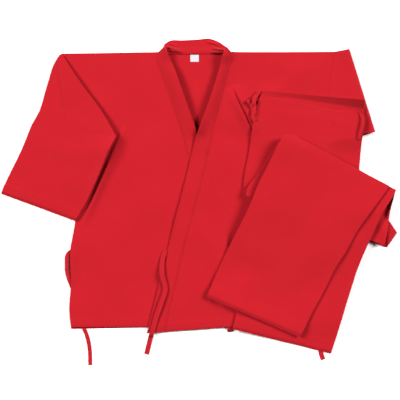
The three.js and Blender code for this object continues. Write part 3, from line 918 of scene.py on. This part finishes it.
def dyed(tree, place, light, dark):
    """The colour of the cloth: slubs in the thread, and a soft unevenness of the dye."""
    slubs = add_node(tree, "ShaderNodeTexNoise", {"Vector": place, "Scale": SLUBS_PER_METRE, "Detail": 2.0})
    dye = add_node(tree, "ShaderNodeTexNoise", {"Vector": place, "Scale": DYE_PER_METRE, "Detail": 3.0})
    both = {0: slubs.outputs["Fac"], 1: dye.outputs["Fac"]}
    shades = add_node(tree, "ShaderNodeMath", both, operation="ADD")
    share = add_node(tree, "ShaderNodeMapRange",
                     {"Value": shades.outputs[0], "From Min": DYE_RANGE[0], "From Max": DYE_RANGE[1]})
    mixed = {"Factor": share.outputs["Result"], "A": (*dark, 1), "B": (*light, 1)}
    colour = add_node(tree, "ShaderNodeMix", mixed, data_type="RGBA")
    return colour.outputs["Result"]


def woven(name):
    """Plain-woven cloth: threads over and under each other, and the look from the table."""
    light, dark, thread, raised, roughness, sheen, specular = WEAVES[name]
    material = bpy.data.materials.new(name)
    material.use_nodes = True
    tree = material.node_tree
    shader = tree.nodes["Principled BSDF"]
    place = add_node(tree, "ShaderNodeUVMap", uv_map="grain").outputs["UV"]
    parts = add_node(tree, "ShaderNodeSeparateXYZ", {"Vector": place})
    warp = sine(tree, parts.outputs["X"], thread)
    weft = sine(tree, parts.outputs["Y"], thread)
    crossing = add_node(tree, "ShaderNodeMath", {0: warp, 1: weft}, operation="MULTIPLY")
    bump = add_node(tree, "ShaderNodeBump",
                    {"Height": crossing.outputs[0], "Strength": WEAVE_STRENGTH, "Distance": raised * MM})
    tree.links.new(dyed(tree, place, light, dark), shader.inputs["Base Color"])
    tree.links.new(bump.outputs["Normal"], shader.inputs["Normal"])
    shader.inputs["Roughness"].default_value = roughness
    shader.inputs["Specular IOR Level"].default_value = specular
    shader.inputs["Sheen Weight"].default_value = sheen
    shader.inputs["Sheen Roughness"].default_value = SHEEN_ROUGHNESS
    return material


red = woven("cotton_red")
tape_red = woven("tape_red")
white = woven("label_white")
thread_red = woven("thread_red")
thread_white = woven("thread_white")


def lay_back():
    """The back panel, between the side seams of the two fronts."""
    side_seams = zip(FRONT_RIGHT, FRONT_LEFT)
    sections = [(right[0], right[1], left[0], left[1], 0, 0) for right, left in side_seams]
    lay("jacket_back", [(*BACK_HEM, 0, 0), *sections[1:]], red, step=COARSE)


def lay_label():
    """The bare label inside the neck."""
    return lay("neck_label", LABEL, white, depth=LABEL_CLOTH, step=SMALL)


def lay_collar():
    """The stretch of the collar behind the neck, sewn to the back along its lower edge."""
    return lay("collar_back", COLLAR, red, depth=BAND, step=COLLAR_STEP, sharp=creases(COLLAR_CREASES),
               sewn={"left": None})


def lay_right_front():
    """The inner front and its lapel, as one cloth with a seam."""
    bare = heights.z.copy()
    rise = together(waves(*FRONT_WAVES, 1), creases(FRONT_RIGHT_CREASES))
    front_rows = [(sx, sy, lx - SEAM, ly, 0, 0) for sx, sy, lx, ly, _, _ in FRONT_RIGHT]
    lapel_rows = [(lx, ly, ex, ey, 0, 0) for _, _, lx, ly, ex, ey in FRONT_RIGHT]
    front = lay("jacket_front_right", front_rows, red, rise=rise, sharp=creases(FRONT_RIGHT_FOLDS),
                sewn={"right": None}, hems=[("first", JACKET_HEM)])
    lapel = lay("lapel_right", lapel_rows, red, depth=BAND, step=SMALL, rise=rise, below=bare,
                sewn={"left": front.line("right", 0)})
    return front, lapel


def lay_left_front():
    """The outer front and its lapel, as one cloth with a seam. Its other edge is sewn to the sleeve."""
    bare = heights.z.copy()
    rise = together(waves(*FRONT_WAVES, 2), creases(FRONT_LEFT_CREASES))
    sharp = creases(FRONT_LEFT_FOLDS)
    front_rows = [(lx + SEAM, ly, sx, sy, 0, 0) for sx, sy, lx, ly, _, _ in FRONT_LEFT]
    lapel_rows = [(ex, ey, lx, ly, 0, 0) for _, _, lx, ly, ex, ey in FRONT_LEFT]
    front = lay("jacket_front_left", front_rows, red, step=FRONT_LEFT_STEP, rise=rise, sharp=sharp,
                sewn={"left": None, "right": None}, hems=[("first", JACKET_HEM)])
    lapel = lay("lapel_left", lapel_rows, red, depth=BAND, step=SMALL, rise=rise,
                sharp=together(sharp, creases(LAPEL_LEFT_FOLDS)), below=bare,
                sewn={"right": front.line("left", 0)})
    return front, lapel


def lay_right_sleeve():
    """The right sleeve, a flattened tube, turned down over the front."""
    rows = with_lower(SLEEVE_RIGHT, -1, SLEEVE_SHIFT)
    return lay("sleeve_right", rows, red, depth=SLEEVE_DEPTH, wall=CLOTH, corners=(SLEEVE_TIP,),
               step=SLEEVE_STEP, rise=together(waves(*SLEEVE_WAVES, 3), creases(SLEEVE_CREASES)),
               hems=[("last", SLEEVE_HEM)])


def jacket():
    """Lays the jacket, from the surface up, and sews it."""
    mark_hidden_sleeve()
    lay_back()
    label = lay_label()
    collar = lay_collar()
    lay_tape("tie_side_right")
    front_right, lapel_right = lay_right_front()
    lay_tape("tie_inner")
    lay_tape("tie_side_left")
    front_left, lapel_left = lay_left_front()
    lay_left_sleeve(front_left)
    tie = lay_tape("tie_lapel")
    sleeve = lay_right_sleeve()
    rows = [front.line("first", JACKET_HEM - HEM_INSET) for front in (front_right, front_left)]
    rows.append(sleeve.line("last", SLEEVE_HEM - HEM_INSET))
    for band in (collar, lapel_right, lapel_left):
        rows += [band.line("left", BAND_INSET), band.line("right", BAND_INSET)]
    rows.append(tie.line("last", BAND_INSET))
    sew("stitches_jacket", rows, THREAD, thread_red)
    edges = [label.line(edge, LABEL_INSET) for edge in ("left", "right", "first", "last")]
    sew("stitches_label", edges, LABEL_THREAD, thread_white)


def lay_seat_and_waist():
    """The seat, folded at its lower end, and the waist casing, laid as one cloth with a seam."""
    bare = heights.z.copy()
    rise = together(waves(*SEAT_WAVES, 4), creases(SEAT_CREASES))
    seat = lay("trousers_seat", SEAT, red, depth=SEAT_DEPTH, wall=CLOTH, closed=True,
               corners=(SEAT_CORNER,), rise=rise, sharp=creases(SEAT_FOLDS), slope=SEAT_SLOPE)
    return lay("trousers_waistband", WAISTBAND, red, depth=SEAT_DEPTH, wall=CLOTH, step=SMALL, rise=rise,
               relief=creases(WAIST_CREASES), slope=SEAT_SLOPE, below=bare,
               sewn={"first": seat.line("first", 0)})


def lay_stack():
    """The hidden stretch of the trousers between its two folds, all its layers as one."""
    lay("trousers_fold", STACK, red, depth=STACK_DEPTH, step=SMALL, sharp=creases(STACK_FOLDS))


def lay_leg(name, table, seed, corners=(), folds=()):
    """A leg, a flattened tube that is open at its hem and folded at its other end."""
    rows = with_lower(table, 0, LEG_SHIFT)
    rise = together(waves(*LEG_WAVES, seed), creases(folds))
    return lay(name, rows, red, depth=LEG_DEPTH, wall=CLOTH, closed=True, corners=corners, rise=rise,
               slope=LEG_SLOPE, hems=[("first", LEG_HEM)])


def trousers():
    """Lays the folded trousers on the jacket's lower corner, and sews them."""
    band = lay_seat_and_waist()
    lay_tape("waist_tape_end")
    tapes = [lay_tape("waist_tape_left"), lay_tape("waist_tape_right")]
    lay_stack()
    legs = [
        lay_leg("trousers_leg_lower", LEG_LOWER, 5),
        lay_leg("trousers_leg_upper", LEG_UPPER, 6, corners=(LEG_CORNER,), folds=LEG_UPPER_CREASES),
    ]
    rows = [band.line("first", HEM_INSET)]
    rows += [leg.line("first", LEG_HEM - HEM_INSET) for leg in legs]
    rows += [tape.line("last", TAPE_INSET) for tape in tapes]
    sew("stitches_trousers", rows, THREAD, thread_red)


def make_floor():
    """The plain white surface that the set lies on."""
    bpy.ops.mesh.primitive_plane_add(size=FLOOR_SIZE, location=(0, 0, -FLOOR_DROP))
    floor = bpy.context.object
    floor.name = "floor"
    paint = bpy.data.materials.new("floor_white")
    paint.use_nodes = True
    shader = paint.node_tree.nodes["Principled BSDF"]
    shader.inputs["Base Color"].default_value = (FLOOR_WHITE, FLOOR_WHITE, FLOOR_WHITE, 1)
    shader.inputs["Roughness"].default_value = FLOOR_ROUGHNESS
    floor.data.materials.append(paint)


def make_world():
    """The even light from all round."""
    world = bpy.data.worlds.new("studio")
    world.use_nodes = True
    background = world.node_tree.nodes["Background"]
    background.inputs["Color"].default_value = (1, 1, 1, 1)
    background.inputs["Strength"].default_value = AMBIENT
    bpy.context.scene.world = world


def make_soft_box(name, place, size, power):
    """A square light that faces the middle of the part."""
    data = bpy.data.lights.new(name, "AREA")
    data.shape = "SQUARE"
    data.size = size
    data.energy = power
    light = bpy.data.objects.new(name, data)
    light.location = place
    light.rotation_mode = "QUATERNION"
    light.rotation_quaternion = (-Vector(place)).to_track_quat("-Z", "Y")
    bpy.context.scene.collection.objects.link(light)


def make_camera():
    """The camera, straight above the middle of the photo."""
    data = bpy.data.cameras.new("camera")
    data.sensor_width = SENSOR
    data.lens = SENSOR * CAMERA_HEIGHT / PHOTO_WIDTH
    camera = bpy.data.objects.new("camera", data)
    camera.location = (PHOTO_CENTRE[0] * MM, PHOTO_CENTRE[1] * MM, CAMERA_HEIGHT)
    scene = bpy.context.scene
    scene.collection.objects.link(camera)
    scene.camera = camera
    scene.view_settings.view_transform = "Standard"


jacket()
trousers()
make_floor()
make_world()
for side, (place, size, power) in SOFT_BOXES.items():
    make_soft_box("soft_box_" + side, place, size, power)
make_camera()
